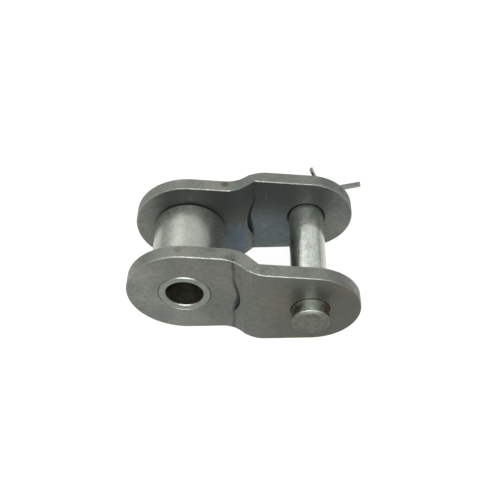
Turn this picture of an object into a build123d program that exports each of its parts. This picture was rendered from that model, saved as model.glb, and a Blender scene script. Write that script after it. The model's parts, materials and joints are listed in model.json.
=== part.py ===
import os
from math import cos, radians, sin, sqrt, tan

from build123d import *

os.makedirs("parts", exist_ok=True)

# Offset link of a roller chain: one narrow end that carries a bush and a roller, one wide end
# that is closed by a slip-fit pin and a split pin. Millimetres.
# The origin is on the bush's axis, midway between the plates. +X points along the pitch line to
# the pin's axis, +Y along the pin to the end that holds the split pin, and +Z is up.

# Chain size
pitch = 31.75
pin_diameter = 9.53
bush_wall = 1.95
roller_wall = 2.62

# Offset plates
plate_thickness = 3.7
narrow_gap = 19.2  # between the plates at the bush
wide_gap = 27.8  # between the plates at the pin
big_end_diameter = 29.6  # round end about the bush
small_end_diameter = 25.4  # round end about the pin
plate_edge_break = 0.2
bush_hole_break = 0.2
pin_hole_outer_break = 0.2
pin_hole_inner_break = 0.75

# Offset between the two ends, pressed at an angle
ramp_angle = 42.5
ramp_start = 12.5  # outer hollow corner, from the bush's axis
front_ramp_thickness = 3.7
rear_ramp_thickness = 2.8  # the press has thinned this plate
crease_radius = 0.3  # hollow corners
bend_radius = 9.0  # rounded corners

# Coined arcs that clear the round ends of the plates on the next links
relief_clearance = 1.5

# Bush and roller
bush_stand_out = 0.1  # beyond each plate
bush_outer_break = 0.3
bush_bore_clearance = 0.035  # radial, on a pin of this chain
bush_bore_break = 0.3
roller_bush_clearance = 0.08  # radial
roller_side_clearance = 0.15  # each side
roller_rim_break = 0.6
roller_bore_break = 0.5

# Connecting pin
pin_hole_clearance = 0.07  # radial, in the plates
pin_front_stand_out = 4.0
pin_rear_stand_out = 5.7
pin_front_break = 0.55
pin_rear_break = 0.8
split_pin_set_out = 2.7  # from the rear plate to the cross hole's axis
cross_hole_clearance = 0.1  # radial

# Split pin, a half-round wire folded on itself
split_pin_diameter = 1.8
split_pin_turn = 43.5  # the cross hole's rise from the pitch line
eye_bore = 2.0
eye_neck_radius = 1.6
shank_stand_out = 0.45  # straight wire beyond the pin on each side
raised_leg_angle = 70.0
raised_leg_bend = 1.6
raised_leg_length = 7.5
lowered_leg_angle = 28.0
lowered_leg_bend = 4.0
lowered_leg_length = 9.6

# Worked out from the sizes above
big_end_radius = big_end_diameter / 2
small_end_radius = small_end_diameter / 2
pin_radius = pin_diameter / 2
bush_bore_radius = pin_radius + bush_bore_clearance
bush_radius = bush_bore_radius + bush_wall
roller_bore_radius = bush_radius + roller_bush_clearance
roller_radius = roller_bore_radius + roller_wall
wire_radius = split_pin_diameter / 2

narrow_inner = narrow_gap / 2
narrow_outer = narrow_inner + plate_thickness
wide_inner = wide_gap / 2
wide_outer = wide_inner + plate_thickness

pin_hole_radius = pin_radius + pin_hole_clearance
split_pin_y = wide_outer + split_pin_set_out


def rod(radius, start, end, x=0.0):
    # A round bar along Y at a place on the pitch line.
    bar = Cylinder(radius, end - start)
    return Pos(x, (start + end) / 2, 0) * Rot(90, 0, 0) * bar


def circles(shape, radius, y):
    # The round edges of one radius that lie on one plane across Y.
    near = 0.001
    return [
        edge
        for edge in shape.edges().filter_by(GeomType.CIRCLE)
        if abs(edge.radius - radius) < near and abs(edge.center().Y - y) < near
    ]


def offset_section(ramp_thickness):
    # Section of the front plate along the pitch line, from the narrow end to the wide one.
    slope = radians(ramp_angle)
    ramp_run = (wide_outer - narrow_outer) / tan(slope)
    crease_gap = ramp_thickness / sin(slope) + (wide_inner - narrow_outer) / tan(slope)
    outer_crease = (ramp_start, -narrow_outer)
    outer_bend = (ramp_start + ramp_run, -wide_outer)
    inner_crease = (ramp_start + crease_gap, -wide_inner)
    inner_bend = (inner_crease[0] - ramp_run, -narrow_inner)
    left = -big_end_diameter
    right = pitch + small_end_diameter
    line = Polyline(
        (left, -narrow_outer),
        outer_crease,
        outer_bend,
        (right, -wide_outer),
        (right, -wide_inner),
        inner_crease,
        inner_bend,
        (left, -narrow_inner),
        close=True,
    )
    section = make_face(line)
    for corner, radius in (
        (outer_crease, crease_radius),
        (outer_bend, bend_radius),
        (inner_crease, crease_radius),
        (inner_bend, bend_radius),
    ):
        vertex = section.vertices().sort_by_distance(Vector(*corner, 0))[0]
        section = fillet(vertex, radius)
    return section


def offset_plate(ramp_thickness):
    # The front plate. The blank's outline is two round ends joined by straight tangents.
    ends = Circle(big_end_radius).edges() + (Pos(pitch, 0) * Circle(small_end_radius)).edges()
    blank = extrude(Plane.XZ * make_hull(ends), 2 * wide_outer, both=True)
    plate = extrude(offset_section(ramp_thickness), big_end_diameter, both=True) & blank

    # Every edge of the outline is broken, on both faces.
    rim = [
        edge
        for edge in plate.edges()
        if edge.geom_type != GeomType.LINE or abs(edge.tangent_at(0.5).X) > 0.1
    ]
    plate = chamfer(rim, plate_edge_break)

    # The outside is coined about the bush's axis, the inside about the pin's.
    outer_relief = rod(small_end_radius + relief_clearance, -2 * wide_outer, -narrow_outer)
    inner_relief = rod(big_end_radius + relief_clearance, -wide_inner, 0, pitch)
    plate -= outer_relief
    plate -= inner_relief

    plate -= rod(bush_radius, -2 * wide_outer, 0)
    plate -= rod(pin_hole_radius, -2 * wide_outer, 0, pitch)
    plate = chamfer(circles(plate, bush_radius, -narrow_outer), bush_hole_break)
    plate = chamfer(circles(plate, pin_hole_radius, -wide_outer), pin_hole_outer_break)
    plate = chamfer(circles(plate, pin_hole_radius, -wide_inner), pin_hole_inner_break)
    return plate


def bush():
    reach = narrow_outer + bush_stand_out
    tube = rod(bush_radius, -reach, reach) - rod(bush_bore_radius, -reach, reach)
    for y in (-reach, reach):
        tube = chamfer(circles(tube, bush_radius, y), bush_outer_break)
        tube = chamfer(circles(tube, bush_bore_radius, y), bush_bore_break)
    return tube


def roller():
    reach = narrow_inner - roller_side_clearance
    ring = rod(roller_radius, -reach, reach) - rod(roller_bore_radius, -reach, reach)
    for y in (-reach, reach):
        ring = chamfer(circles(ring, roller_radius, y), roller_rim_break)
        ring = chamfer(circles(ring, roller_bore_radius, y), roller_bore_break)
    return ring


def connecting_pin():
    front = -(wide_outer + pin_front_stand_out)
    rear = wide_outer + pin_rear_stand_out
    pin = rod(pin_radius, front, rear, pitch)
    pin = chamfer(circles(pin, pin_radius, front), pin_front_break)
    pin = chamfer(circles(pin, pin_radius, rear), pin_rear_break)
    cross_hole = Rot(0, 90, 0) * Cylinder(wire_radius + cross_hole_clearance, 2 * pin_diameter)
    return pin - Pos(pitch, split_pin_y, 0) * Rot(0, -split_pin_turn, 0) * cross_hole


def half_round(place):
    # The wire's section: its flat lies on the place's X axis and faces the other half.
    arc = CenterArc((0, 0), wire_radius, 0, 180)
    return place * make_face([*arc.edges(), *Line(arc @ 1, arc @ 0).edges()])


def split_pin_leg(exit_x, angle, bend_radius, length):
    # The upper half of the wire past the cross hole, bent up by an angle.
    turn = radians(angle)
    bend_end = (exit_x + bend_radius * sin(turn), 0, bend_radius * (1 - cos(turn)))
    bend = TangentArc((exit_x, 0, 0), bend_end, tangent=(1, 0, 0))
    run = Line(bend_end, Vector(*bend_end) + (bend % 1) * length)
    start = Plane(origin=(exit_x, 0, 0), x_dir=(0, 1, 0), z_dir=(1, 0, 0))
    return sweep(half_round(start), Wire([bend.edge(), run.edge()]))


def split_pin():
    # Drawn along X, with the upper half of the wire above the XY plane.
    neck = -(pin_radius + shank_stand_out)
    exit_x = pin_radius + shank_stand_out
    eye_radius = eye_bore / 2
    eye_x = neck - sqrt(eye_radius**2 + 2 * eye_radius * eye_neck_radius)

    # Half of the eye and of the shank, as one run of wire.
    share = eye_radius / (eye_radius + eye_neck_radius)
    meeting = (eye_x + (neck - eye_x) * share, 0, eye_neck_radius * share)
    eye_start = (eye_x - eye_radius, 0, 0)
    eye_arc = TangentArc(eye_start, meeting, tangent=(0, 0, 1))
    neck_arc = TangentArc(meeting, (neck, 0, 0), tangent=eye_arc % 1)
    shank = Line((neck, 0, 0), (exit_x, 0, 0))
    start = Plane(origin=eye_start, x_dir=(0, 1, 0), z_dir=(0, 0, 1))
    upper = sweep(half_round(start), Wire([eye_arc.edge(), neck_arc.edge(), shank.edge()]))
    lower = mirror(upper, about=Plane.XY)

    # Both legs are bent away from each other, in the plane of the eye.
    raised = split_pin_leg(exit_x, raised_leg_angle, raised_leg_bend, raised_leg_length)
    lowered = split_pin_leg(exit_x, lowered_leg_angle, lowered_leg_bend, lowered_leg_length)
    wire = upper + lower + raised + mirror(lowered, about=Plane.XY)
    return Pos(pitch, split_pin_y, 0) * Rot(0, -split_pin_turn, 0) * wire


pieces = {
    "front_offset_plate": offset_plate(front_ramp_thickness),
    "rear_offset_plate": mirror(offset_plate(rear_ramp_thickness), about=Plane.XZ),
    "bush": bush(),
    "roller": roller(),
    "connecting_pin": connecting_pin(),
    "split_pin": split_pin(),
}
for name, piece in pieces.items():
    export_step(piece, f"parts/{name}.step")
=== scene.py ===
import json
from math import hypot, pi, radians, sqrt, tan

import bmesh
import bpy
from mathutils import Matrix, Vector

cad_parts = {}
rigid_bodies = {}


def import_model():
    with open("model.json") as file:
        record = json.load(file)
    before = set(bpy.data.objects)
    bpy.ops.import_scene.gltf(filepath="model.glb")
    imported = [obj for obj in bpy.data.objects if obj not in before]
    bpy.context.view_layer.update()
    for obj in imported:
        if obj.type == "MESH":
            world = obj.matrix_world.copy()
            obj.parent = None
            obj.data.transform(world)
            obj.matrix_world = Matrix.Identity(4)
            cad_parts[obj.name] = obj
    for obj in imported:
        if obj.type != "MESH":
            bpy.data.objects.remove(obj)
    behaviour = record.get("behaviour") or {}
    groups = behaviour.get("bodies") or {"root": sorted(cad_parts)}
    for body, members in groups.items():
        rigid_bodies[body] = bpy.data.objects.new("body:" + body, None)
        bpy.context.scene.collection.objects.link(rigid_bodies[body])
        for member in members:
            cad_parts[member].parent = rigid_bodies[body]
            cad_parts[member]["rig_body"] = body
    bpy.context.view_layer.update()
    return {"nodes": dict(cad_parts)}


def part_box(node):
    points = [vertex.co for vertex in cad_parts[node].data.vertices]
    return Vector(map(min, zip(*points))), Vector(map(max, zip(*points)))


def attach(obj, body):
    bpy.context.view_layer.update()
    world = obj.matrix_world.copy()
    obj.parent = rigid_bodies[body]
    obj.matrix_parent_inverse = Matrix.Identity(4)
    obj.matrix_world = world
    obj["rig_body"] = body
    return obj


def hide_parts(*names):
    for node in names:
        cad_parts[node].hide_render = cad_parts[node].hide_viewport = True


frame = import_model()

# A roller chain's offset link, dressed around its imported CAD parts. Metres, in the CAD frame:
# +X from the bush to the connecting pin, +Y along the pin to the split pin, +Z up.
nodes = frame["nodes"]
print("frame loaded:", ", ".join(sorted(nodes)))

# Millimetres in a metre
perMetre = 1000.0

# Places worked out from the frame, in metres, and the pin's axis in millimetres as well
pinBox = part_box("connecting_pin")
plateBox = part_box("front_offset_plate")
pinX = (pinBox[0].x + pinBox[1].x) / 2
pinAxis = pinX * perMetre
bigEndRadius = -plateBox[0].x
smallEndRadius = plateBox[1].x - pinX

# The plates' offset, in millimetres: where the pressed corners and the faces lie, and the coined
# arcs beside them
offset = {
    "rampAngle": 42.5,
    "outerCorner": 12.5,
    "frontInnerCorner": 18.6,
    "rearInnerCorner": 17.3,
    "narrowInner": 9.6,
    "narrowOuter": 13.3,
    "wideInner": 13.9,
    "outerArc": 14.2,
    "innerArc": 16.3,
}


def fromScreen(red, green, blue):
    # A colour as it looks on a screen, 0 to 255, made linear.
    def linear(value):
        share = value / 255
        return share / 12.92 if share <= 0.04045 else ((share + 0.055) / 1.055) ** 2.4
    return (linear(red), linear(green), linear(blue), 1.0)


# Node helpers
def addNode(tree, kind, **settings):
    node = tree.nodes.new(kind)
    for name, value in settings.items():
        setattr(node, name, value)
    return node


def setInputs(tree, node, inputs):
    # Each value is a number, a colour, a vector or another node's output.
    for name, value in inputs.items():
        if isinstance(value, bpy.types.NodeSocket):
            tree.links.new(value, node.inputs[name])
        else:
            node.inputs[name].default_value = value
    return node


def maths(tree, operation, first, second=0.0):
    node = addNode(tree, "ShaderNodeMath", operation=operation)
    return setInputs(tree, node, {0: first, 1: second}).outputs[0]


def times(tree, first, second):
    return maths(tree, "MULTIPLY", first, second)


def vectorMaths(tree, operation, first, second=(0.0, 0.0, 0.0), output="Vector"):
    node = addNode(tree, "ShaderNodeVectorMath", operation=operation)
    return setInputs(tree, node, {0: first, 1: second}).outputs[output]


def splitVector(tree, vector):
    parts = setInputs(tree, addNode(tree, "ShaderNodeSeparateXYZ"), {"Vector": vector})
    return parts.outputs["X"], parts.outputs["Y"], parts.outputs["Z"]


def remap(tree, value, low, high, newLow=0.0, newHigh=1.0):
    node = addNode(tree, "ShaderNodeMapRange", interpolation_type="SMOOTHSTEP")
    inputs = {"Value": value, "From Min": low, "From Max": high, "To Min": newLow, "To Max": newHigh}
    return setInputs(tree, node, inputs).outputs["Result"]


def noise(tree, vector, scale, detail, rough):
    node = addNode(tree, "ShaderNodeTexNoise")
    inputs = {"Vector": vector, "Scale": scale, "Detail": detail, "Roughness": rough}
    return setInputs(tree, node, inputs).outputs["Fac"]


def mixColour(tree, share, first, second):
    node = addNode(tree, "ShaderNodeMix", data_type="RGBA")
    return setInputs(tree, node, {0: share, 6: first, 7: second}).outputs[2]


def newGroup(name, inputs, outputs):
    # Inputs are a name, a socket kind and a start value. Outputs are numbers.
    group = bpy.data.node_groups.new(name, "ShaderNodeTree")
    for label, kind, start in inputs:
        socket = group.interface.new_socket(name=label, in_out="INPUT", socket_type="NodeSocket" + kind)
        socket.default_value = start
    for label in outputs:
        group.interface.new_socket(name=label, in_out="OUTPUT", socket_type="NodeSocketFloat")
    given = group.nodes.new("NodeGroupInput").outputs
    return group, given, group.nodes.new("NodeGroupOutput")


def useGroup(tree, group, **inputs):
    node = addNode(tree, "ShaderNodeGroup", node_tree=group)
    named = {name.replace("_", " "): value for name, value in inputs.items()}
    return setInputs(tree, node, named).outputs


def aboutZero(tree, pattern):
    # Noise varies about one half.
    return maths(tree, "SUBTRACT", pattern, 0.5)


def radiusAbout(tree, x, z, axisX):
    # Distance from an axis along Y.
    away = maths(tree, "SUBTRACT", x, axisX)
    return maths(tree, "SQRT", maths(tree, "ADD", times(tree, away, away), times(tree, z, z)))


# Shared effects. Every pattern works in millimetres from Object coordinates. A noise is given as
# scale, detail and roughness, without the scale where an input sets it, and an edge as the two
# values between which a mask goes from 0 to 1 or between two further numbers.
tumbled = {
    "grain": (3.0, 0.65),
    "mottleScale": 0.27,
    "mottle": (3.0, 0.6),
    "cloud": (2.0, 0.5),
    "speckNoise": (1.9, 2.0, 0.5),
    "speckEdge": (0.66, 0.74),
    "pitNoise": (2.6, 2.0, 0.5),
    "pitEdge": (0.64, 0.72),
    "pitDepth": 0.8,
}


def makeSkinGroup():
    # Grain, mottling, clouds, specks and pits of tumbled, oiled steel.
    group, given, end = newGroup(
        "tumbledSkin",
        [("Position", "Vector", (0, 0, 0)), ("Grain Size", "Float", 0.4), ("Cloud Size", "Float", 9.0)],
        ["Grain", "Mottle", "Cloud", "Specks", "Height"],
    )
    place = given["Position"]
    grainScale = maths(group, "DIVIDE", 1.0, given["Grain Size"])
    cloudScale = maths(group, "DIVIDE", 1.0, given["Cloud Size"])
    mottleScale = times(group, grainScale, tumbled["mottleScale"])
    grain = noise(group, place, grainScale, *tumbled["grain"])
    pits = remap(group, noise(group, place, *tumbled["pitNoise"]), *tumbled["pitEdge"])
    setInputs(group, end, {
        "Grain": grain,
        "Mottle": noise(group, place, mottleScale, *tumbled["mottle"]),
        "Cloud": noise(group, place, cloudScale, *tumbled["cloud"]),
        "Specks": remap(group, noise(group, place, *tumbled["speckNoise"]), *tumbled["speckEdge"]),
        "Height": maths(group, "SUBTRACT", grain, times(group, pits, tumbled["pitDepth"])),
    })
    return group


scratched = {
    "stretch": (0.16, 0.8, 4.5),
    "lineNoise": (1.0, 1.0, 0.4),
    "lineEdge": (0.66, 0.74),
    "patchNoise": (0.16, 2.0, 0.5),
    "patchFull": 0.75,
}


def makeScratchGroup():
    # Fine straight scratches that lie together in patches.
    group, given, end = newGroup(
        "handlingScratches",
        [("Position", "Vector", (0, 0, 0)), ("Turn", "Vector", (0, 0, 0)), ("Spread", "Float", 0.5)],
        ["Mask"],
    )
    turned = addNode(group, "ShaderNodeMapping")
    setInputs(group, turned, {"Vector": given["Position"], "Rotation": given["Turn"]})
    stretched = vectorMaths(group, "MULTIPLY", turned.outputs["Vector"], scratched["stretch"])
    lines = remap(group, noise(group, stretched, *scratched["lineNoise"]), *scratched["lineEdge"])
    cloud = noise(group, given["Position"], *scratched["patchNoise"])
    patches = remap(group, cloud, given["Spread"], scratched["patchFull"])
    setInputs(group, end, {"Mask": times(group, lines, patches)})
    return group


rubbedAndGlint = {
    "samples": 12,
    "edge": (0.62, 0.93, 1.0, 0.0),
    "breakNoise": (1.3, 4.0, 0.65),
    "breakEdge": (0.34, 0.6),
}


def makeRubAndGlintGroup():
    # Bare metal where edges have been rubbed, with a painted highlight along them: rays sent into the
    # metal leave it again near an edge.
    group, given, end = newGroup(
        "rubbedEdgeAndGlint",
        [("Position", "Vector", (0, 0, 0)), ("Reach", "Float", 0.0003), ("Break Up", "Float", 0.5)],
        ["Mask"],
    )
    inward = addNode(
        group, "ShaderNodeAmbientOcclusion", samples=rubbedAndGlint["samples"], inside=True, only_local=True
    )
    setInputs(group, inward, {"Distance": given["Reach"]})
    edge = remap(group, inward.outputs["AO"], *rubbedAndGlint["edge"])
    uneven = noise(group, given["Position"], *rubbedAndGlint["breakNoise"])
    breaks = remap(group, uneven, *rubbedAndGlint["breakEdge"])
    kept = maths(group, "SUBTRACT", 1.0, given["Break Up"])
    share = maths(group, "ADD", kept, times(group, breaks, given["Break Up"]))
    setInputs(group, end, {"Mask": times(group, edge, share)})
    return group


creviced = {
    "samples": 12,
    "noise": (1.2, 3.0, 0.6),
    "unevenness": 0.3,
    "edge": (0.3, 0.75, 1.0, 0.0),
}


def makeCreviceGroup():
    # Old oil where pieces meet and in inner corners, together with painted shade there.
    group, given, end = newGroup(
        "oilAndShadeInCrevice",
        [("Position", "Vector", (0, 0, 0)), ("Reach", "Float", 0.001)],
        ["Mask"],
    )
    outward = addNode(group, "ShaderNodeAmbientOcclusion", samples=creviced["samples"])
    setInputs(group, outward, {"Distance": given["Reach"]})
    uneven = aboutZero(group, noise(group, given["Position"], *creviced["noise"]))
    shade = maths(group, "ADD", outward.outputs["AO"], times(group, uneven, creviced["unevenness"]))
    setInputs(group, end, {"Mask": remap(group, shade, *creviced["edge"])})
    return group


stained = {
    "noise": (0.9, 4.0, 0.6),
    "edge": (0.2, 1.0, 1.0, 0.0),
    "ragged": 0.9,
}


def makeCloudyPatchGroup():
    # A cloudy patch about one place, with a ragged border.
    group, given, end = newGroup(
        "cloudyPatch",
        [
            ("Position", "Vector", (0, 0, 0)), ("Centre", "Vector", (0, 0, 0)),
            ("Reach", "Vector", (1, 1, 1)), ("Ragged", "Float", 0.5),
        ],
        ["Mask"],
    )
    away = vectorMaths(group, "SUBTRACT", given["Position"], given["Centre"])
    share = vectorMaths(group, "DIVIDE", away, given["Reach"])
    length = vectorMaths(group, "LENGTH", share, output="Value")
    ragged = aboutZero(group, noise(group, given["Position"], *stained["noise"]))
    border = maths(group, "ADD", length, times(group, ragged, given["Ragged"]))
    setInputs(group, end, {"Mask": remap(group, border, *stained["edge"])})
    return group


# The line and the crescent start on a flatter arc than the coined one, and the line is uneven.
pressedAndShaded = {
    "wanderNoise": (0.35, 2.0, 0.5),
    "wander": 0.35,
    "faceEdge": (-0.3, -0.2),
    "flatArc": (0.0, 6.5, 0.8, 0.0),
    "lineEdge": (0.08, 0.6, 1.0, 0.0),
    "lineFade": (-0.15, 0.1, 0.6, 1.0),
    "arcEdge": (0.03, 0.1, 1.0, 0.0),
    "startEdge": (-0.1, 0.12),
}


def makePressMarksAndShadeGroup():
    # Marks of the press with painted shade: the dark line in a pressed corner, a tool mark with painted
    # shade, and the dark crescent beside it, painted shade of a deeper coined recess with dark scale.
    # Sense is the way from the corner to the ramp, and Face Side the side on which the corner is open.
    group, given, end = newGroup(
        "pressMarksAndShade",
        [
            ("Position", "Vector", (0, 0, 0)), ("Corner Place", "Float", 12.5),
            ("Face Place", "Float", 13.3), ("Arc Place", "Float", 0.0), ("Arc Radius", "Float", 14.2),
            ("Sense", "Float", 1.0), ("Face Side", "Float", 1.0),
        ],
        ["Line", "Crescent"],
    )
    x, y, z = splitVector(group, given["Position"])
    wander = aboutZero(group, noise(group, given["Position"], *pressedAndShaded["wanderNoise"]))
    height = times(group, maths(group, "SUBTRACT", y, given["Face Place"]), given["Face Side"])
    side = remap(group, height, *pressedAndShaded["faceEdge"])
    past = times(group, maths(group, "SUBTRACT", x, given["Corner Place"]), given["Sense"])
    past = maths(group, "ADD", past, times(group, wander, pressedAndShaded["wander"]))
    flat = remap(group, maths(group, "ABSOLUTE", z), *pressedAndShaded["flatArc"])
    past = maths(group, "SUBTRACT", past, flat)
    line = remap(group, maths(group, "ABSOLUTE", past), *pressedAndShaded["lineEdge"])
    line = times(group, line, remap(group, wander, *pressedAndShaded["lineFade"]))
    radius = radiusAbout(group, x, z, given["Arc Place"])
    fromArc = maths(group, "SUBTRACT", radius, given["Arc Radius"])
    inside = remap(group, fromArc, *pressedAndShaded["arcEdge"])
    crescent = times(group, inside, remap(group, past, *pressedAndShaded["startEdge"]))
    setInputs(group, end, {"Line": times(group, line, side), "Crescent": times(group, crescent, side)})
    return group


turnedMarks = {
    "ringNoise": (3.0, 0.7),
    "streakStretch": (4.0, 0.18, 4.0),
    "streakNoise": (1.0, 2.0, 0.6),
}


def makeTurnedGroup():
    # Fine rings left by turning, and streaks along the bar, about an axis along Y.
    group, given, end = newGroup(
        "turnedMarks",
        [("Position", "Vector", (0, 0, 0)), ("Axis Place", "Float", 0.0), ("Ring Size", "Float", 0.12)],
        ["Rings", "Streaks", "Radius"],
    )
    x, y, z = splitVector(group, given["Position"])
    radius = radiusAbout(group, x, z, given["Axis Place"])
    lane = setInputs(group, addNode(group, "ShaderNodeCombineXYZ"), {"X": radius, "Y": y})
    scale = maths(group, "DIVIDE", 1.0, given["Ring Size"])
    along = vectorMaths(group, "MULTIPLY", given["Position"], turnedMarks["streakStretch"])
    setInputs(group, end, {
        "Rings": noise(group, lane.outputs["Vector"], scale, *turnedMarks["ringNoise"]),
        "Streaks": noise(group, along, *turnedMarks["streakNoise"]),
        "Radius": radius,
    })
    return group


skinGroup = makeSkinGroup()
scratchGroup = makeScratchGroup()
rubAndGlintGroup = makeRubAndGlintGroup()
creviceGroup = makeCreviceGroup()
cloudyPatchGroup = makeCloudyPatchGroup()
pressMarksAndShadeGroup = makePressMarksAndShadeGroup()
turnedGroup = makeTurnedGroup()


def startMaterial(name):
    # A material with its Principled BSDF and the position on the piece in millimetres.
    material = bpy.data.materials.new(name)
    material.use_nodes = True
    tree = material.node_tree
    shader = tree.nodes["Principled BSDF"]
    place = addNode(tree, "ShaderNodeTexCoord").outputs["Object"]
    millimetres = addNode(tree, "ShaderNodeVectorMath", operation="SCALE")
    setInputs(tree, millimetres, {"Vector": place, "Scale": perMetre})
    return material, tree, shader, millimetres.outputs["Vector"]


def bump(tree, height, distance):
    node = addNode(tree, "ShaderNodeBump")
    return setInputs(tree, node, {"Height": height, "Distance": distance}).outputs["Normal"]


def addStainsAndShade(tree, position, colour, stainsAndShade, tints):
    # Each patch, stain or painted shade: centre and reach in millimetres, tint name, strength.
    for centre, reach, tint, strength in stainsAndShade:
        patch = useGroup(
            tree, cloudyPatchGroup, Position=position, Centre=centre, Reach=reach, Ragged=stained["ragged"]
        )
        colour = mixColour(tree, times(tree, patch["Mask"], strength), colour, tints[tint])
    return colour


# Wear along edges, with a painted highlight, is broken up, and old oil with painted shade fills the
# crevices. The reach is in metres.
edges = {"breakUp": 0.4, "creviceReach": 0.0008, "creviceShare": 0.7, "oilAndShade": fromScreen(40, 40, 32)}


def addWearGlintAndShade(tree, position, colour, wornAndGlint, reach, share):
    # Bare metal with a painted highlight on the edges, and oil with painted shade in the crevices. Also
    # gives the mask of the rubbed edges.
    rubAndGlint = useGroup(tree, rubAndGlintGroup, Position=position, Reach=reach, Break_Up=edges["breakUp"])["Mask"]
    colour = mixColour(tree, times(tree, rubAndGlint, share), colour, wornAndGlint)
    oilAndShade = useGroup(tree, creviceGroup, Position=position, Reach=edges["creviceReach"])["Mask"]
    return rubAndGlint, mixColour(tree, times(tree, oilAndShade, edges["creviceShare"]), colour, edges["oilAndShade"])


def tone(tree, skin, shares):
    # One number about one half from the skin's patterns, each with its share.
    total = 0.5
    for label, share in shares.items():
        total = maths(tree, "ADD", total, times(tree, aboutZero(tree, skin[label]), share))
    return total


# Where painted shade darkens a plate, in millimetres: a start, an end and the shares at both
paintedShadePlaces = {
    "front": {"lean": 0.5, "across": (-10.0, 8.0, 0.0, 0.4), "along": (8.0, 34.0, 0.0, 0.45)},
    "rear": {"up": (-9.0, 8.0), "along": (-13.0, -5.0, 0.05, 0.95), "end": (35.0, 42.0, 1.0, 0.25)},
    "depth": (0.15, 0.4, 1.0, 0.0),
}


def onFace(tree, x, y, side):
    # One on the face that is turned to -Y: the front plate's outer one or the rear plate's inner one.
    slope = tan(radians(offset["rampAngle"]))
    climb = offset["wideInner"] - offset["narrowInner"]
    start = offset["outerCorner"] if side == "front" else offset["rearInnerCorner"] - climb / slope
    rise = times(tree, maths(tree, "SUBTRACT", x, start), slope)
    bend = addNode(tree, "ShaderNodeMath", operation="SMOOTH_MIN" if side == "front" else "SMOOTH_MAX")
    setInputs(tree, bend, {0: rise, 1: climb if side == "front" else 0.0, 2: climb})
    if side == "front":
        face = maths(tree, "ADD", maths(tree, "MAXIMUM", bend.outputs[0], 0.0), offset["narrowOuter"])
        depth = maths(tree, "ADD", face, y)
    else:
        face = maths(tree, "ADD", maths(tree, "MINIMUM", bend.outputs[0], climb), offset["narrowInner"])
        depth = maths(tree, "SUBTRACT", y, face)
    return remap(tree, depth, *paintedShadePlaces["depth"])


def paintedShadeShare(tree, x, y, z, side):
    # Painted shade: the front plate is darker towards the pin, the rear one along its top.
    places = paintedShadePlaces[side]
    along = remap(tree, x, *places["along"])
    if side == "front":
        across = maths(tree, "ADD", x, times(tree, z, places["lean"]))
        share = maths(tree, "ADD", remap(tree, across, *places["across"]), along)
    else:
        share = times(tree, remap(tree, z, *places["up"]), along)
        share = times(tree, share, remap(tree, x, *places["end"]))
    return times(tree, share, onFace(tree, x, y, side))


plateSteel = {
    "grainSize": 0.4,
    "cloudSize": 9.0,
    "shares": {"Cloud": 0.8, "Mottle": 0.45, "Grain": 1.1},
    "toneEdge": (0.1, 0.9),
    "light": fromScreen(120, 121, 113),
    "dark": fromScreen(86, 92, 88),
    # Painted shade on the face turned to -Y, front and rear
    "paintedShade": {"front": fromScreen(71, 73, 65), "rear": fromScreen(57, 60, 58)},
    # Worn bare steel with a painted highlight, on rubbed edges and in scratches; brighter on the rear
    # plate
    "wornAndGlint": {"front": fromScreen(170, 174, 166), "rear": fromScreen(212, 216, 208)},
    "tints": {
        "brown": fromScreen(78, 70, 57),
        "rust": fromScreen(104, 86, 58),
        "blue": fromScreen(66, 92, 110),
        # Smoke stains, and the painted shade above the pin
        "smokeAndShade": fromScreen(58, 61, 55),
    },
    "specks": 0.4,
    "scratchTurns": ((0, 0.5, 0), (0, -0.9, 0), (0, 1.5, 0)),
    "scratchSpread": 0.5,
    "scratches": 0.14,
    "scratchDepth": 0.6,
    # Crease lines: tool marks with painted shade; crescents: painted shade of a deeper coined recess,
    # with dark scale
    "lines": {"front": fromScreen(44, 51, 53), "rear": fromScreen(42, 46, 51)},
    "lineShare": {"front": 0.65, "rear": 0.4},
    "crescents": {"front": fromScreen(47, 48, 47), "rear": fromScreen(28, 33, 38)},
    "crescentShare": 0.9,
    "wearAndGlintReach": 0.0004,
    "wearAndGlint": 0.9,
    "mottleEdge": (0.3, 0.7),
    "roughness": {"front": (0.46, 0.56), "rear": (0.54, 0.64)},
    "rubbedRoughness": 0.2,
    "metallic": 0.92,
    "grainDepth": 0.000006,
}


def addPressMarksAndShade(tree, position, colour, side):
    # A dark line and a dark crescent beside the pressed corner of each face: tool mark and dark scale,
    # with painted shade.
    sign = -1.0 if side == "front" else 1.0
    innerCorner = offset[side + "InnerCorner"]
    corners = (
        (offset["outerCorner"], offset["narrowOuter"], 0.0, offset["outerArc"], 1.0, 1.0),
        (innerCorner, offset["wideInner"], pinAxis, offset["innerArc"], -1.0, -1.0),
    )
    for corner, face, arcPlace, arcRadius, sense, outward in corners:
        marks = useGroup(
            tree, pressMarksAndShadeGroup, Position=position, Corner_Place=corner, Face_Place=sign * face,
            Arc_Place=arcPlace, Arc_Radius=arcRadius, Sense=sense, Face_Side=sign * outward,
        )
        line = times(tree, marks["Line"], plateSteel["lineShare"][side])
        colour = mixColour(tree, line, colour, plateSteel["lines"][side])
        crescent = times(tree, marks["Crescent"], plateSteel["crescentShare"])
        colour = mixColour(tree, crescent, colour, plateSteel["crescents"][side])
    return colour


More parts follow.
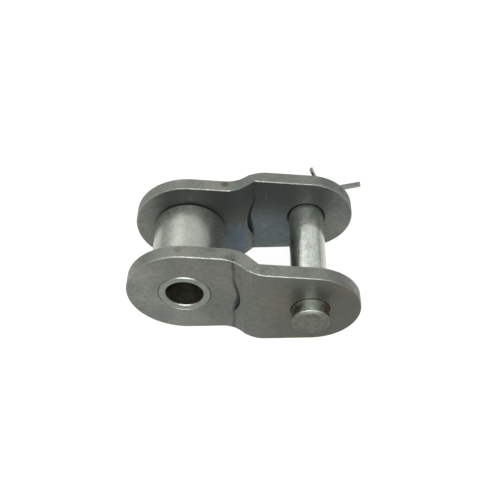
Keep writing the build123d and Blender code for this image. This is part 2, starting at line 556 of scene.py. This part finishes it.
def makePlateSteel(name, side, stainsAndShade):
    material, tree, shader, position = startMaterial(name)
    skin = useGroup(
        tree, skinGroup, Position=position, Grain_Size=plateSteel["grainSize"],
        Cloud_Size=plateSteel["cloudSize"],
    )
    shade = remap(tree, tone(tree, skin, plateSteel["shares"]), *plateSteel["toneEdge"])
    colour = mixColour(tree, shade, plateSteel["dark"], plateSteel["light"])
    x, y, z = splitVector(tree, position)
    # Painted shade on the face turned to -Y
    colour = mixColour(tree, paintedShadeShare(tree, x, y, z, side), colour, plateSteel["paintedShade"][side])
    colour = addStainsAndShade(tree, position, colour, stainsAndShade, plateSteel["tints"])
    specks = times(tree, skin["Specks"], plateSteel["specks"])
    colour = mixColour(tree, specks, colour, plateSteel["tints"]["brown"])

    # Scratches in three directions
    scratches = 0.0
    for turn in plateSteel["scratchTurns"]:
        patch = useGroup(
            tree, scratchGroup, Position=position, Turn=turn, Spread=plateSteel["scratchSpread"]
        )
        scratches = maths(tree, "MAXIMUM", scratches, patch["Mask"])
    scratchShare = times(tree, scratches, plateSteel["scratches"])
    colour = mixColour(tree, scratchShare, colour, plateSteel["wornAndGlint"][side])
    colour = addPressMarksAndShade(tree, position, colour, side)
    # Rubbed edges get worn steel with a painted highlight; crevices get oil with painted shade
    wornAndGlint = plateSteel["wornAndGlint"][side]
    rubAndGlint, colour = addWearGlintAndShade(tree, position, colour, wornAndGlint, plateSteel["wearAndGlintReach"], plateSteel["wearAndGlint"])

    low, high = plateSteel["roughness"][side]
    rough = remap(tree, skin["Mottle"], *plateSteel["mottleEdge"], high, low)
    rough = remap(tree, rubAndGlint, 0.0, 1.0, rough, plateSteel["rubbedRoughness"])
    scratchDepth = times(tree, scratches, plateSteel["scratchDepth"])
    height = maths(tree, "SUBTRACT", skin["Height"], scratchDepth)
    setInputs(tree, shader, {
        "Base Color": colour,
        "Metallic": plateSteel["metallic"],
        "Roughness": rough,
        "Normal": bump(tree, height, plateSteel["grainDepth"]),
    })
    return material


# What the turned pieces share, and then each one's own values
turnedSkin = {
    "grainSize": 0.35,
    "cloudSize": 5.0,
    "ringSize": 0.14,
    "toneEdge": (0.15, 0.85),
    "cloudEdge": (0.52, 0.72),
    "mottleEdge": (0.35, 0.7),
    "skinDepth": 0.7,
    "metallic": 0.95,
    # The olive tint is painted shade for the pin's sides
    "tints": {"rust": fromScreen(108, 64, 38), "paintedOliveShade": fromScreen(78, 78, 54)},
}
# Worn colours: bare steel with a painted highlight on rubbed edges
turnedSteel = {
    "bush": {
        "light": fromScreen(126, 132, 125), "dark": fromScreen(98, 104, 97),
        "stained": fromScreen(84, 80, 62), "wornAndGlint": fromScreen(222, 224, 220),
        "shares": {"Grain": 0.7, "Mottle": 0.6, "Cloud": 0.3}, "roughness": (0.36, 0.46),
        "cloudy": 0.25, "specks": 0.3, "rings": 0.5, "streaks": 0.0, "ringDepth": 0.0000012,
        "rubAndGlintReach": 0.0003, "rubAndGlint": 0.3,
    },
    "roller": {
        "light": fromScreen(171, 174, 164), "dark": fromScreen(145, 151, 143),
        "stained": fromScreen(112, 106, 88), "wornAndGlint": fromScreen(214, 218, 212),
        "shares": {"Grain": 1.0, "Mottle": 0.5, "Cloud": 0.5}, "roughness": (0.27, 0.31),
        "cloudy": 0.1, "specks": 0.1, "rings": 0.35, "streaks": 0.0, "ringDepth": 0.0000002,
        "rubAndGlintReach": 0.0003, "rubAndGlint": 0.5,
    },
    "pin": {
        "light": fromScreen(204, 210, 202), "dark": fromScreen(164, 171, 163),
        "stained": fromScreen(84, 70, 48), "wornAndGlint": fromScreen(214, 218, 210),
        "shares": {"Grain": 1.2, "Mottle": 0.6, "Cloud": 0.3}, "roughness": (0.17, 0.23),
        "cloudy": 0.25, "specks": 0.35, "rings": 0.3, "streaks": 0.7, "ringDepth": 0.000001,
        "rubAndGlintReach": 0.0003, "rubAndGlint": 0.5,
    },
    "splitPin": {
        "light": fromScreen(124, 128, 120), "dark": fromScreen(90, 94, 88),
        "stained": fromScreen(70, 64, 50), "wornAndGlint": fromScreen(205, 208, 200),
        "shares": {"Grain": 0.9, "Mottle": 0.8, "Cloud": 0.3}, "roughness": (0.3, 0.42),
        "cloudy": 0.3, "specks": 0.3, "rings": 0.0, "streaks": 0.0, "ringDepth": 0.000003,
        "rubAndGlintReach": 0.0002, "rubAndGlint": 0.4,
    },
}
# Regions coloured apart, in millimetres: the pin's two ends, and the bush's bore, which is darker and
# browner
pinEnds = {
    "front": pinBox[0].y * perMetre,
    "frontDepths": (0.45, 0.6),
    "rear": pinBox[1].y * perMetre,
    "rearDepths": (-0.85, -0.7),
    "light": fromScreen(98, 98, 89),
    "dark": fromScreen(78, 80, 73),
    "mottleEdge": (0.3, 0.7),
    "rougher": 0.4,
}
bushBore = {
    "radius": 4.8,
    "depths": (0.02, 0.1),
    "light": fromScreen(92, 91, 79),
    "dark": fromScreen(80, 79, 69),
    "mottleEdge": (0.35, 0.65),
}


def patchyColour(tree, skin, values):
    share = remap(tree, skin["Mottle"], *values["mottleEdge"])
    return mixColour(tree, share, values["dark"], values["light"])


def makeTurnedSteel(name, values, axisX, stainsAndShade=(), ends=None, bore=None):
    # The axis is given in millimetres. Ends and bore are regions like the two above.
    material, tree, shader, position = startMaterial(name)
    skin = useGroup(
        tree, skinGroup, Position=position, Grain_Size=turnedSkin["grainSize"],
        Cloud_Size=turnedSkin["cloudSize"],
    )
    turned = useGroup(
        tree, turnedGroup, Position=position, Axis_Place=axisX, Ring_Size=turnedSkin["ringSize"]
    )
    shade = tone(tree, skin, values["shares"])
    ring = times(tree, aboutZero(tree, turned["Rings"]), values["rings"])
    streak = times(tree, aboutZero(tree, turned["Streaks"]), values["streaks"])
    shade = maths(tree, "ADD", maths(tree, "ADD", shade, ring), streak)
    shade = remap(tree, shade, *turnedSkin["toneEdge"])
    colour = mixColour(tree, shade, values["dark"], values["light"])
    cloudy = times(tree, remap(tree, skin["Cloud"], *turnedSkin["cloudEdge"]), values["cloudy"])
    specks = times(tree, skin["Specks"], values["specks"])
    colour = mixColour(tree, maths(tree, "MAXIMUM", cloudy, specks), colour, values["stained"])
    colour = addStainsAndShade(tree, position, colour, stainsAndShade, turnedSkin["tints"])
    rough = remap(tree, skin["Mottle"], *turnedSkin["mottleEdge"], *values["roughness"])
    if ends:
        y = splitVector(tree, position)[1]
        frontEdge = [ends["front"] + depth for depth in ends["frontDepths"]]
        rearEdge = [ends["rear"] + depth for depth in ends["rearDepths"]]
        face = maths(tree, "MAXIMUM", remap(tree, y, *frontEdge, 1.0, 0.0), remap(tree, y, *rearEdge))
        colour = mixColour(tree, face, colour, patchyColour(tree, skin, ends))
        rough = maths(tree, "ADD", rough, times(tree, face, ends["rougher"]))
    if bore:
        boreEdge = [bore["radius"] + depth for depth in bore["depths"]]
        within = remap(tree, turned["Radius"], *boreEdge, 1.0, 0.0)
        colour = mixColour(tree, within, colour, patchyColour(tree, skin, bore))
    # Rubbed edges get worn steel with a painted highlight; crevices get oil with painted shade
    colour = addWearGlintAndShade(tree, position, colour, values["wornAndGlint"], values["rubAndGlintReach"], values["rubAndGlint"])[1]
    skinHeight = times(tree, skin["Height"], turnedSkin["skinDepth"])
    height = maths(tree, "ADD", turned["Rings"], skinHeight)
    setInputs(tree, shader, {
        "Base Color": colour,
        "Metallic": turnedSkin["metallic"],
        "Roughness": rough,
        "Normal": bump(tree, height, values["ringDepth"]),
    })
    return material


print("materials")
frontStainsAndShade = [
    ((12.4, -13.3, 11.6), (0.9, 2.0, 2.4), "brown", 0.9),
    ((12.0, -13.0, 14.0), (2.2, 2.0, 1.0), "smokeAndShade", 0.4),
    ((19.5, -16.0, 14.0), (0.9, 1.3, 0.9), "brown", 0.8),
    ((31.0, -17.6, -12.6), (4.6, 2.0, 1.1), "rust", 0.5),
    # Painted shade on the face above the pin
    ((31.75, -17.6, 7.0), (8.0, 0.6, 5.0), "smokeAndShade", 0.85),
    ((41.0, -17.6, 9.0), (4.5, 1.5, 3.5), "rust", 0.2),
    ((44.2, -16.6, 2.4), (1.2, 1.2, 2.0), "brown", 0.8),
    ((24.0, -17.6, 2.0), (8.0, 1.5, 8.0), "rust", 0.14),
    ((-1.0, -11.0, 14.8), (1.7, 1.3, 0.8), "brown", 0.5),
    ((7.0, -10.6, 14.3), (2.2, 0.9, 0.9), "brown", 0.5),
]
rearStains = [
    ((9.6, 12.0, 14.3), (1.5, 1.5, 1.0), "brown", 0.9),
    ((12.0, 10.5, -8.0), (6.5, 3.0, 12.0), "blue", 0.5),
    ((21.0, 13.9, -6.0), (11.0, 2.0, 12.0), "blue", 0.3),
    ((14.4, 11.5, 2.5), (1.0, 3.0, 5.0), "brown", 0.6),
    ((40.5, 16.0, 8.8), (1.2, 1.2, 1.2), "brown", 0.8),
]
# Painted shade down both sides of the pin in olive, leaving a bright stripe between them; the rust on
# the end's right side is partly painted shade
pinStainsAndShade = [
    ((35.7, -19.6, 2.0), (3.2, 2.8, 5.0), "rust", 0.9),
    ((28.4, -19.6, 2.0), (3.4, 2.8, 5.0), "paintedOliveShade", 0.9),
    ((35.0, 2.0, 3.2), (1.6, 16.0, 2.4), "paintedOliveShade", 0.3),
    ((27.2, 0.0, 1.8), (2.6, 18.0, 3.6), "paintedOliveShade", 0.6),
]
frontSteel = makePlateSteel("front_plate_steel", "front", frontStainsAndShade)
rearSteel = makePlateSteel("rear_plate_steel", "rear", rearStains)
bushSteel = makeTurnedSteel("bush_steel_turned", turnedSteel["bush"], 0.0, bore=bushBore)
rollerSteel = makeTurnedSteel("roller_steel_satin", turnedSteel["roller"], 0.0)
pinSteel = makeTurnedSteel("pin_steel_ground", turnedSteel["pin"], pinAxis, pinStainsAndShade, ends=pinEnds)
splitPinSteel = makeTurnedSteel("split_pin_steel_drawn", turnedSteel["splitPin"], pinAxis)


# Where a plate bends inwards the press leaves the corner crisp along its middle, but the metal runs
# out at the rims, so there the corner is filled to a wide round. Millimetres: the round's radius and
# length, its distances from the rim, the strip that is cut finer and how near the face a point is.
cornerRims = {
    "round": 8.0,
    "length": 6.6,
    "fullFrom": 0.9,
    "gone": 4.2,
    "strip": (9.0, 16.0),
    "nearFace": 0.5,
    "cutsX": (9.6, 10.4, 11.2, 11.9, 13.1, 13.8, 14.6, 15.4),
    "cutsZ": (10.0, 10.8, 11.6, 12.4, 13.2),
}
# Distances in metres at which points count as one, as on a cut, or as on a coined arc
near = {"weld": 0.000002, "cut": 0.000001, "arc": 0.00004}


def eased(share):
    # Kept within 0 and 1, with a soft start and end.
    share = min(1.0, max(0.0, share))
    return share * share * (3 - 2 * share)


def fillCorner(shape, sign):
    # Works on the outer face of one plate, in metres. sign: the way out along Y.
    slope = radians(offset["rampAngle"])
    corner = offset["outerCorner"] / perMetre
    face = offset["narrowOuter"] / perMetre
    roundRadius = cornerRims["round"] / perMetre
    roundLength = cornerRims["length"] / perMetre
    nearFace = cornerRims["nearFace"] / perMetre
    begin = corner - roundRadius * tan(slope / 2)
    stripStart, stripEnd = (place / perMetre for place in cornerRims["strip"])

    def nearCorner():
        faces = [
            f for f in shape.faces
            if max(v.co.x for v in f.verts) > stripStart and min(v.co.x for v in f.verts) < stripEnd
        ]
        lines = {e for f in faces for e in f.edges}
        points = {v for f in faces for v in f.verts}
        return faces + list(lines) + list(points)

    def cut(place, across):
        bmesh.ops.bisect_plane(
            shape, geom=nearCorner(), dist=near["cut"], plane_co=place, plane_no=across
        )

    for x in cornerRims["cutsX"]:
        cut((x / perMetre, 0, 0), (1, 0, 0))
    for z in cornerRims["cutsZ"]:
        for way in (-1, 1):
            cut((0, 0, way * z / perMetre), (0, 0, 1))
    for vert in shape.verts:
        x, y, z = vert.co
        sharp = max(0.0, (x - corner) * tan(slope))
        along = x - begin
        if along < 0 or along > roundLength or sign * y < face + sharp - nearFace:
            continue
        rounded = roundRadius - sqrt(roundRadius**2 - along**2)
        rim = (bigEndRadius - (bigEndRadius - smallEndRadius) * x / pinX) * perMetre
        inward = rim - abs(z) * perMetre
        share = (cornerRims["gone"] - inward) / (cornerRims["gone"] - cornerRims["fullFrom"])
        if rounded > sharp:
            vert.co.y += sign * (rounded - sharp) * eased(share)


# Pieces: each takes its shape from its CAD node and gets its hard edges rounded.
def evenNormals(piece):
    # Flat faces keep flat shading beside rounded edges.
    modifier = piece.modifiers.new("evenNormals", "WEIGHTED_NORMAL")
    modifier.keep_sharp = True
    graph = bpy.context.evaluated_depsgraph_get()
    finished = bpy.data.meshes.new_from_object(piece.evaluated_get(graph))
    finished.name = piece.name
    piece.modifiers.clear()
    piece.data = finished


def onCoinedArc(edge):
    # The coined arcs stay crisp, and end in points too narrow to round.
    for arcX, arcRadius in ((0.0, offset["outerArc"] / perMetre), (pinX, offset["innerArc"] / perMetre)):
        if all(abs(hypot(v.co.x - arcX, v.co.z) - arcRadius) < near["arc"] for v in edge.verts):
            return True
    return False


def roundedPiece(nodeName, pieceName, material, values, reshape=None):
    cadNode = nodes[nodeName]
    shape = bmesh.new()
    shape.from_mesh(cadNode.data)
    bmesh.ops.remove_doubles(shape, verts=shape.verts, dist=near["weld"])
    bmesh.ops.dissolve_limit(
        shape, angle_limit=radians(values["flat"]), verts=shape.verts, edges=shape.edges, delimit=set()
    )
    if reshape:
        reshape(shape)
    hard = [
        edge for edge in shape.edges
        if len(edge.link_faces) == 2 and edge.calc_face_angle(0.0) > radians(values["hard"])
        and not (reshape and onCoinedArc(edge))
    ]
    bmesh.ops.bevel(
        shape, geom=hard, offset=values["round"], offset_type="OFFSET", affect="EDGES",
        segments=values["segments"], profile=0.5, material=-1, clamp_overlap=False, loop_slide=True,
    )
    mesh = bpy.data.meshes.new(pieceName)
    shape.to_mesh(mesh)
    shape.free()
    if "custom_normal" in mesh.attributes:
        mesh.attributes.remove(mesh.attributes["custom_normal"])
    mesh.materials.clear()
    mesh.materials.append(material)
    mesh.shade_smooth()
    mesh.set_sharp_from_angle(angle=radians(values["smooth"]))
    piece = bpy.data.objects.new(pieceName, mesh)
    bpy.context.scene.collection.objects.link(piece)
    evenNormals(piece)
    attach(piece, cadNode["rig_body"])
    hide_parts(nodeName)
    print(pieceName, len(piece.data.vertices), "points,", len(hard), "hard edges")


# Angles in degrees below which faces are joined, above which an edge is rounded and above which it
# is shaded sharp, and the rounding in metres
pieceShapes = {
    "plate": {"flat": 0.3, "hard": 28.0, "round": 0.00007, "segments": 2, "smooth": 32.0},
    "turned": {"flat": 0.3, "hard": 28.0, "round": 0.0001, "segments": 3, "smooth": 32.0},
    "wire": {"flat": 0.3, "hard": 40.0, "round": 0.00008, "segments": 2, "smooth": 32.0},
}
print("pieces")
roundedPiece(
    "front_offset_plate", "front_plate", frontSteel, pieceShapes["plate"],
    reshape=lambda shape: fillCorner(shape, -1),
)
roundedPiece(
    "rear_offset_plate", "rear_plate", rearSteel, pieceShapes["plate"],
    reshape=lambda shape: fillCorner(shape, 1),
)
roundedPiece("bush", "link_bush", bushSteel, pieceShapes["turned"])
roundedPiece("roller", "link_roller", rollerSteel, pieceShapes["turned"])
roundedPiece("connecting_pin", "slip_pin", pinSteel, pieceShapes["turned"])
roundedPiece("split_pin", "bent_split_pin", splitPinSteel, pieceShapes["wire"])


# Floor, in metres: the link lies a hair above it on the lower edges of both plates, from round end
# to round end.
floor = {
    "size": 2.0,
    "segments": 64,
    "gap": 0.00002,
    "colour": (0.9, 0.9, 0.9, 1.0),
    "white": (1, 1, 1, 1),
    "whiteShare": 0.88,
}


def makeFloor():
    tilt = (bigEndRadius - smallEndRadius) / pinX
    down = Vector((tilt, 0, -sqrt(1 - tilt * tilt)))
    shape = bmesh.new()
    bmesh.ops.create_circle(shape, cap_ends=True, segments=floor["segments"], radius=floor["size"])
    turn = Vector((0, 0, 1)).rotation_difference(-down).to_matrix()
    place = Matrix.Translation(down * (bigEndRadius + floor["gap"]))
    bmesh.ops.transform(shape, matrix=place @ turn.to_4x4(), verts=shape.verts)
    mesh = bpy.data.meshes.new("floor")
    shape.to_mesh(mesh)
    shape.free()
    material = bpy.data.materials.new("floor_white")
    material.use_nodes = True
    tree = material.node_tree
    tree.nodes.clear()
    matt = setInputs(tree, addNode(tree, "ShaderNodeBsdfDiffuse"), {"Color": floor["colour"]})
    white = addNode(tree, "ShaderNodeEmission")
    setInputs(tree, white, {"Color": floor["white"], "Strength": 1.0})
    path = addNode(tree, "ShaderNodeLightPath")
    seen = maths(tree, "MAXIMUM", path.outputs["Is Camera Ray"], path.outputs["Is Glossy Ray"])
    seen = maths(tree, "MAXIMUM", seen, path.outputs["Is Transmission Ray"])
    share = times(tree, seen, floor["whiteShare"])
    mix = addNode(tree, "ShaderNodeMixShader")
    setInputs(tree, mix, {0: share, 1: matt.outputs[0], 2: white.outputs[0]})
    output = addNode(tree, "ShaderNodeOutputMaterial")
    tree.links.new(mix.outputs[0], output.inputs["Surface"])
    mesh.materials.append(material)
    plane = bpy.data.objects.new("floor", mesh)
    bpy.context.scene.collection.objects.link(plane)


print("floor")
makeFloor()


# Light: a pale room that is brighter overhead, and two large soft lamps, in metres and watts
room = {"colour": (1, 1, 1, 1), "rise": (-0.1, 0.9), "sides": 0.46, "overhead": 1.17}
lamps = {
    "key": {"place": (-0.35, 0.1, 0.6), "size": 0.8, "power": 2.5},
    "front": {"place": (0.0, -0.58, 0.56), "size": 0.7, "power": 14.0},
}


def makeRoom():
    world = bpy.data.worlds.new("room")
    bpy.context.scene.world = world
    world.use_nodes = True
    tree = world.node_tree
    background = tree.nodes["Background"]
    direction = addNode(tree, "ShaderNodeTexCoord").outputs["Generated"]
    up = splitVector(tree, direction)[2]
    level = remap(tree, up, *room["rise"], room["sides"], room["overhead"])
    path = addNode(tree, "ShaderNodeLightPath")
    shown = maths(tree, "MAXIMUM", level, path.outputs["Is Camera Ray"])
    setInputs(tree, background, {"Color": room["colour"], "Strength": shown})


def makeLamp(name, values):
    light = bpy.data.lights.new(name, "AREA")
    light.shape = "DISK"
    light.size = values["size"]
    light.energy = values["power"]
    lamp = bpy.data.objects.new(name, light)
    lamp.location = values["place"]
    lamp.rotation_mode = "QUATERNION"
    lamp.rotation_quaternion = Vector(values["place"]).to_track_quat("Z", "Y")
    bpy.context.scene.collection.objects.link(lamp)


print("light")
makeRoom()
for lampName, lampValues in lamps.items():
    makeLamp(lampName, lampValues)
bpy.context.scene.view_settings.view_transform = "Standard"

# Camera: where the photograph was taken from, with angles in degrees
camera = {
    "place": (0.017179, -0.119851, 0.145135),
    "azimuth": 0.303,
    "elevation": 50.104,
    "roll": 0.776,
    "focalPixels": 708.438,
    "framePixels": 501,
    "sensor": 36.0,
    "nearest": 0.01,
}


def makeCamera():
    lens = bpy.data.cameras.new("camera")
    lens.sensor_width = camera["sensor"]
    lens.lens = camera["focalPixels"] / camera["framePixels"] * camera["sensor"]
    lens.clip_start = camera["nearest"]
    view = bpy.data.objects.new("camera", lens)
    turn = Matrix.Rotation(radians(camera["azimuth"]), 4, "Z")
    lift = Matrix.Rotation(pi / 2 - radians(camera["elevation"]), 4, "X")
    roll = Matrix.Rotation(radians(camera["roll"]), 4, "Z")
    view.matrix_world = Matrix.Translation(camera["place"]) @ turn @ lift @ roll
    bpy.context.scene.collection.objects.link(view)
    bpy.context.scene.camera = view


print("camera")
makeCamera()

print("finishing")
